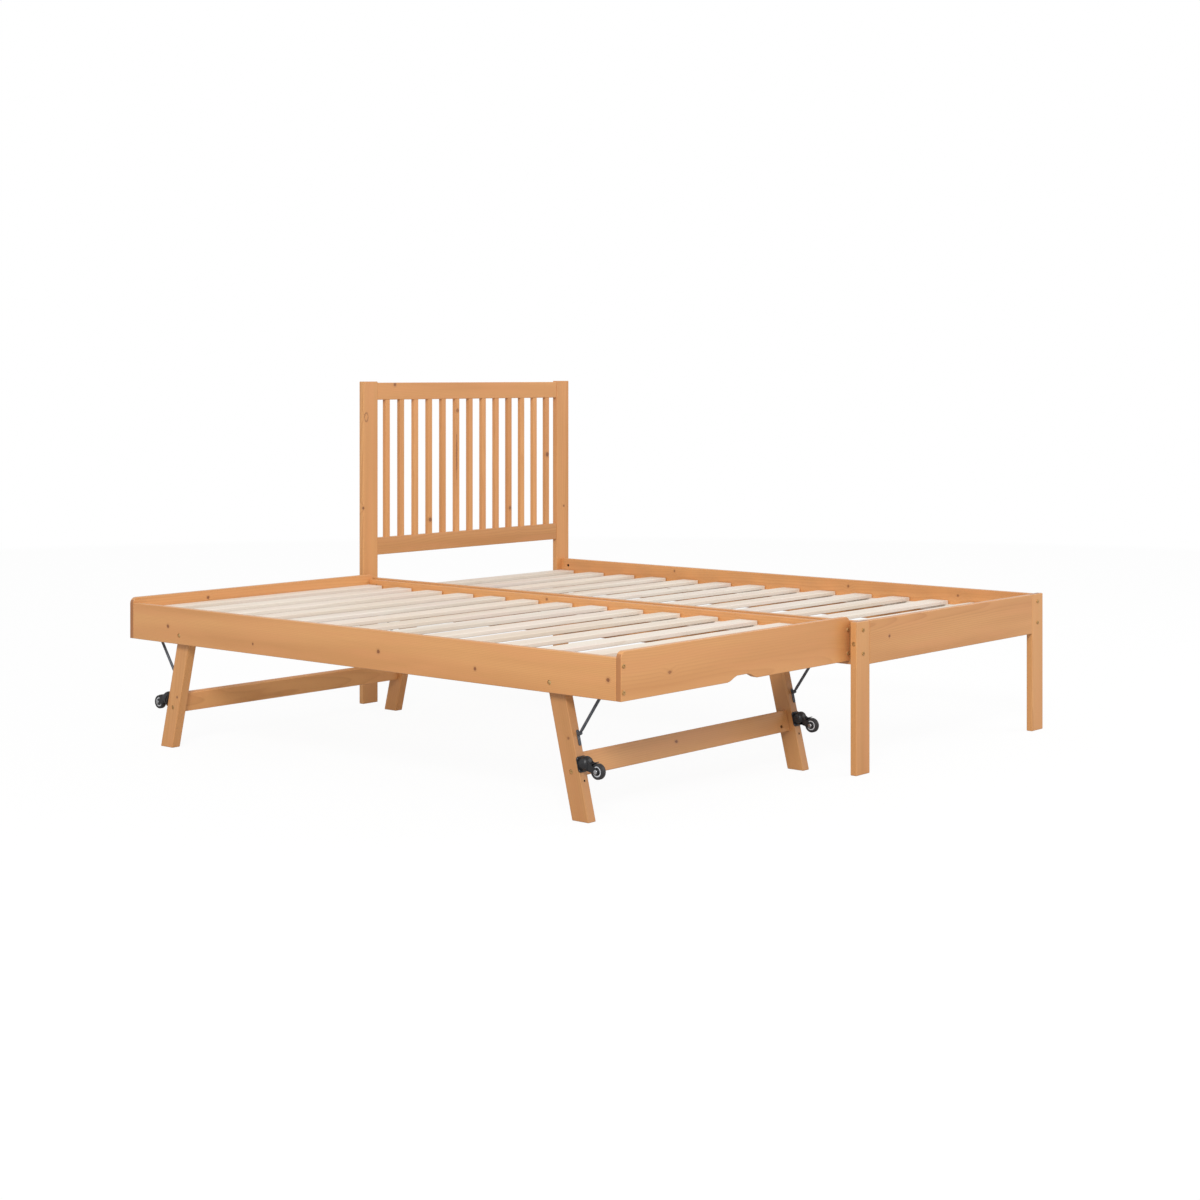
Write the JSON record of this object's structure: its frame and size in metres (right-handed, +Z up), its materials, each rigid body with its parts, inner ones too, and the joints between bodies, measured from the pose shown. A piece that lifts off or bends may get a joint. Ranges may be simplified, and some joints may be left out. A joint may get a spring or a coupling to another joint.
{
  "type": "trundle bed",
  "caption": "Single slatted wooden bed with a spindle headboard, and a trundle bed of the same height beside it on folding legs with castors.",
  "frame": {"origin": "on the floor under the middle of the whole set: the main bed, the trundle and their bolt heads", "axes": "+Z up, +Y towards the headboard, -X towards the trundle"},
  "size_m": [2.0104, 2.005, 1.085],
  "materials": {
    "honey_pine": "satin lacquer",
    "raw_pine": "bare planed wood",
    "bronze": "antique bronze plating",
    "zinc": "zinc plated",
    "dark_steel": "satin dark grey",
    "black": "matte black",
    "tyre_black": "matte black tread"
  },
  "bodies": {
    "main_bed": {"headboard_top_rail": "honey_pine", "headboard_bottom_rail": "honey_pine", "headboard_spindles": "honey_pine", "headboard_dowels": "raw_pine", "foot_board": "honey_pine", "main_slats": "raw_pine", "main_bolts": "bronze", "main_barrel_nuts": "zinc", "head_post_left": "honey_pine", "head_post_right": "honey_pine", "foot_post_left": "honey_pine", "foot_post_right": "honey_pine", "main_side_rail_left": "honey_pine", "main_side_rail_right": "honey_pine", "main_ledge_left": "raw_pine", "main_ledge_right": "raw_pine"},
    "trundle": {"trundle_slats": "raw_pine", "trundle_bolts": "bronze", "trundle_barrel_nuts": "zinc", "leg_pivot_bolts": "zinc", "stay_keepers": "dark_steel", "trundle_side_rail_left": "honey_pine", "trundle_side_rail_right": "honey_pine", "trundle_ledge_left": "raw_pine", "trundle_ledge_right": "raw_pine", "trundle_head_board": "honey_pine", "trundle_foot_board": "honey_pine"},
    "head_legs": {"leg_head_left": "honey_pine", "leg_head_right": "honey_pine", "cross_rail_head": "honey_pine", "leg_bolts_head": "bronze", "stay_bracket_head_left": "dark_steel", "stay_bracket_head_right": "dark_steel", "castor_plate_head_left": "black", "castor_plate_head_right": "black"},
    "foot_legs": {"leg_foot_left": "honey_pine", "leg_foot_right": "honey_pine", "cross_rail_foot": "honey_pine", "leg_bolts_foot": "bronze", "stay_bracket_foot_left": "dark_steel", "stay_bracket_foot_right": "dark_steel", "castor_plate_foot_left": "black", "castor_plate_foot_right": "black"},
    "stay_head_left": {"stay_head_left": "dark_steel"},
    "stay_head_right": {"stay_head_right": "dark_steel"},
    "stay_foot_left": {"stay_foot_left": "dark_steel"},
    "stay_foot_right": {"stay_foot_right": "dark_steel"},
    "castor_head_left": {"castor_fork_head_left": "black", "castor_axle_head_left": "zinc"},
    "castor_head_right": {"castor_fork_head_right": "black", "castor_axle_head_right": "zinc"},
    "castor_foot_left": {"castor_fork_foot_left": "black", "castor_axle_foot_left": "zinc"},
    "castor_foot_right": {"castor_fork_foot_right": "black", "castor_axle_foot_right": "zinc"},
    "wheel_head_left": {"castor_wheel_head_left": "tyre_black"},
    "wheel_head_right": {"castor_wheel_head_right": "tyre_black"},
    "wheel_foot_left": {"castor_wheel_foot_left": "tyre_black"},
    "wheel_foot_right": {"castor_wheel_foot_right": "tyre_black"}
  },
  "joints": [
    {"name": "trundle_lower", "type": "slide", "parent": "main_bed", "child": "trundle", "axis": [0, 0, -1], "range_m": [0, 0.2435]},
    {"name": "head_legs_fold", "type": "hinge", "parent": "trundle", "child": "head_legs", "pos_m": [-0.51175, 0.735, 0.34], "axis": [-1, 0, 0], "range_deg": [0, 104]},
    {"name": "foot_legs_fold", "type": "hinge", "parent": "trundle", "child": "foot_legs", "pos_m": [-0.51175, -0.731, 0.34], "axis": [1, 0, 0], "range_deg": [0, 104]},
    {"name": "stay_head_left_fold", "type": "hinge", "parent": "head_legs", "child": "stay_head_left", "pos_m": [-0.96425, 0.80162, 0.21542], "axis": [1, 0, 0], "range_deg": [0, 48.6]},
    {"name": "stay_head_right_fold", "type": "hinge", "parent": "head_legs", "child": "stay_head_right", "pos_m": [-0.04725, 0.80162, 0.21542], "axis": [1, 0, 0], "range_deg": [0, 48.6]},
    {"name": "stay_foot_left_fold", "type": "hinge", "parent": "foot_legs", "child": "stay_foot_left", "pos_m": [-0.96425, -0.79762, 0.21542], "axis": [-1, 0, 0], "range_deg": [0, 48.6]},
    {"name": "stay_foot_right_fold", "type": "hinge", "parent": "foot_legs", "child": "stay_foot_right", "pos_m": [-0.04725, -0.79762, 0.21542], "axis": [-1, 0, 0], "range_deg": [0, 48.6]},
    {"name": "castor_head_left_swivel", "type": "hinge", "parent": "head_legs", "child": "castor_head_left", "pos_m": [-0.97025, 0.812, 0.14071], "axis": [0, 0.9703, 0.2419], "continuous": true},
    {"name": "wheel_head_left_spin", "type": "hinge", "parent": "castor_head_left", "child": "wheel_head_left", "pos_m": [-0.97025, 0.86656, 0.12855], "axis": [1, 0, 0], "continuous": true},
    {"name": "castor_head_right_swivel", "type": "hinge", "parent": "head_legs", "child": "castor_head_right", "pos_m": [-0.05325, 0.812, 0.14071], "axis": [0, 0.9703, 0.2419], "continuous": true},
    {"name": "wheel_head_right_spin", "type": "hinge", "parent": "castor_head_right", "child": "wheel_head_right", "pos_m": [-0.05325, 0.86656, 0.12855], "axis": [1, 0, 0], "continuous": true},
    {"name": "castor_foot_left_swivel", "type": "hinge", "parent": "foot_legs", "child": "castor_foot_left", "pos_m": [-0.97025, -0.808, 0.14071], "axis": [0, -0.9703, 0.2419], "continuous": true},
    {"name": "wheel_foot_left_spin", "type": "hinge", "parent": "castor_foot_left", "child": "wheel_foot_left", "pos_m": [-0.97025, -0.86256, 0.12855], "axis": [1, 0, 0], "continuous": true},
    {"name": "castor_foot_right_swivel", "type": "hinge", "parent": "foot_legs", "child": "castor_foot_right", "pos_m": [-0.05325, -0.808, 0.14071], "axis": [0, -0.9703, 0.2419], "continuous": true},
    {"name": "wheel_foot_right_spin", "type": "hinge", "parent": "castor_foot_right", "child": "wheel_foot_right", "pos_m": [-0.05325, -0.86256, 0.12855], "axis": [1, 0, 0], "continuous": true}
  ],
  "couplings": [
    {"joint": "head_legs_fold", "follows": "trundle_lower", "rad_per_m": 7.45},
    {"joint": "foot_legs_fold", "follows": "trundle_lower", "rad_per_m": 7.45},
    {"joint": "stay_head_left_fold", "follows": "trundle_lower", "rad_per_m": 3.48},
    {"joint": "stay_head_right_fold", "follows": "trundle_lower", "rad_per_m": 3.48},
    {"joint": "stay_foot_left_fold", "follows": "trundle_lower", "rad_per_m": 3.48},
    {"joint": "stay_foot_right_fold", "follows": "trundle_lower", "rad_per_m": 3.48}
  ]
}
